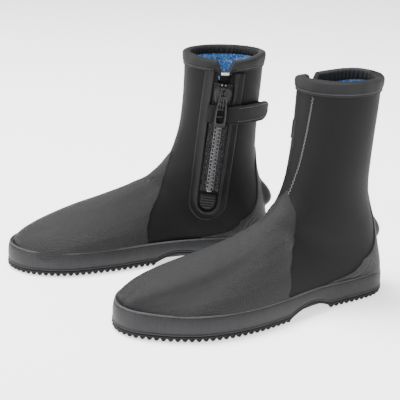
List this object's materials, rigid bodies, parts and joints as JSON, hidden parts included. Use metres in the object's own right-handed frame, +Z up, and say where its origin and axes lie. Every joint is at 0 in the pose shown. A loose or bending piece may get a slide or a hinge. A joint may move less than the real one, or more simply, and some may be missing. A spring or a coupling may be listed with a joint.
{
  "type": "zip neoprene boots",
  "caption": "Pair of black ankle-high neoprene boots with a side zip, a hook-and-loop strap, woven coated toes and studded rubber soles.",
  "frame": {"origin": "middle of the pair's footprint on the floor", "axes": "+Z up, toes towards -Y, the wearer's left boot at +X"},
  "size_m": [0.3056, 0.3602, 0.2297],
  "materials": {
    "neoprene": "matt",
    "plush_lining": "matt",
    "coated_weave": "satin",
    "heel_rubber": "satin",
    "moulded_rubber": "satin",
    "sole_rubber": "matt",
    "sidewall_rubber": "matt",
    "binding_fabric": "matt",
    "eva_foam": "matt",
    "insole_board": "matt",
    "footbed_foam": "matt",
    "zip_tape": "matt",
    "zip_teeth": "satin",
    "zip_metal": "satin",
    "slider_plastic": "gloss",
    "strap_web": "matt",
    "hook_loop": "matt",
    "white_label": "matt"
  },
  "bodies": {
    "left_boot": {"left_outsole": "sole_rubber", "left_midsole": "eva_foam", "left_insole_board": "insole_board", "left_footbed": "footbed_foam", "left_sidewall": "sidewall_rubber", "left_sidewall_bead": "sole_rubber", "left_shaft_shell": "neoprene", "left_foot_shell": "neoprene", "left_lining": "plush_lining", "left_vamp_cover": "coated_weave", "left_heel_panel": "heel_rubber", "left_heel_kicker": "moulded_rubber", "left_cuff_binding": "binding_fabric", "left_zip_welt": "neoprene", "left_zip_tape": "zip_tape", "left_teeth_front": "zip_teeth", "left_teeth_back": "zip_teeth", "left_top_stops": "zip_metal", "left_bottom_stop": "zip_metal", "left_zip_gusset": "neoprene", "left_garage_patch": "moulded_rubber", "left_notch_tab": "white_label", "left_strap_root": "strap_web", "left_loop_patch": "hook_loop"},
    "left_slider": {"left_slider": "slider_plastic"},
    "left_pull": {"left_pull_link": "zip_metal", "left_puller": "slider_plastic"},
    "left_strap": {"left_strap_end": "neoprene", "left_hook_patch": "hook_loop"},
    "right_boot": {"right_outsole": "sole_rubber", "right_midsole": "eva_foam", "right_insole_board": "insole_board", "right_footbed": "footbed_foam", "right_sidewall": "sidewall_rubber", "right_sidewall_bead": "sole_rubber", "right_shaft_shell": "neoprene", "right_foot_shell": "neoprene", "right_lining": "plush_lining", "right_vamp_cover": "coated_weave", "right_heel_panel": "heel_rubber", "right_heel_kicker": "moulded_rubber", "right_cuff_binding": "binding_fabric", "right_zip_welt": "neoprene", "right_zip_tape": "zip_tape", "right_teeth_front": "zip_teeth", "right_teeth_back": "zip_teeth", "right_top_stops": "zip_metal", "right_bottom_stop": "zip_metal", "right_zip_gusset": "neoprene", "right_garage_patch": "moulded_rubber", "right_notch_tab": "white_label", "right_strap_root": "strap_web", "right_loop_patch": "hook_loop"},
    "right_slider": {"right_slider": "slider_plastic"},
    "right_pull": {"right_pull_link": "zip_metal", "right_puller": "slider_plastic"},
    "right_strap": {"right_strap_end": "neoprene", "right_hook_patch": "hook_loop"}
  },
  "joints": [
    {"name": "right_boot_apart", "type": "slide", "parent": "left_boot", "child": "right_boot", "axis": [-1, 0, 0], "range_m": [0, 0.12]},
    {"name": "left_zip_slide", "type": "slide", "parent": "left_boot", "child": "left_slider", "axis": [0.0364, -0.0957, -0.9947], "range_m": [0, 0.1], "deforming": ["left_teeth_front", "left_teeth_back", "left_strap_root"]},
    {"name": "left_pull_swing", "type": "hinge", "parent": "left_slider", "child": "left_pull", "pos_m": [0.0338, 0.10064, 0.19088], "axis": [-0.3239, 0.9406, -0.1024], "range_deg": [0, 150]},
    {"name": "left_strap_peel", "type": "hinge", "parent": "left_boot", "child": "left_strap", "pos_m": [0.03209, 0.11014, 0.16628], "axis": [-0.0364, 0.0957, 0.9947], "range_deg": [0, 90]},
    {"name": "right_zip_slide", "type": "slide", "parent": "right_boot", "child": "right_slider", "axis": [-0.0364, -0.0957, -0.9947], "range_m": [0, 0.1], "deforming": ["right_teeth_front", "right_teeth_back", "right_strap_root"]},
    {"name": "right_pull_swing", "type": "hinge", "parent": "right_slider", "child": "right_pull", "pos_m": [-0.0338, 0.04265, 0.19088], "axis": [-0.3239, -0.9406, 0.1024], "range_deg": [0, 150]},
    {"name": "right_strap_peel", "type": "hinge", "parent": "right_boot", "child": "right_strap", "pos_m": [-0.03209, 0.05214, 0.16628], "axis": [-0.0364, -0.0957, -0.9947], "range_deg": [0, 90]}
  ]
}
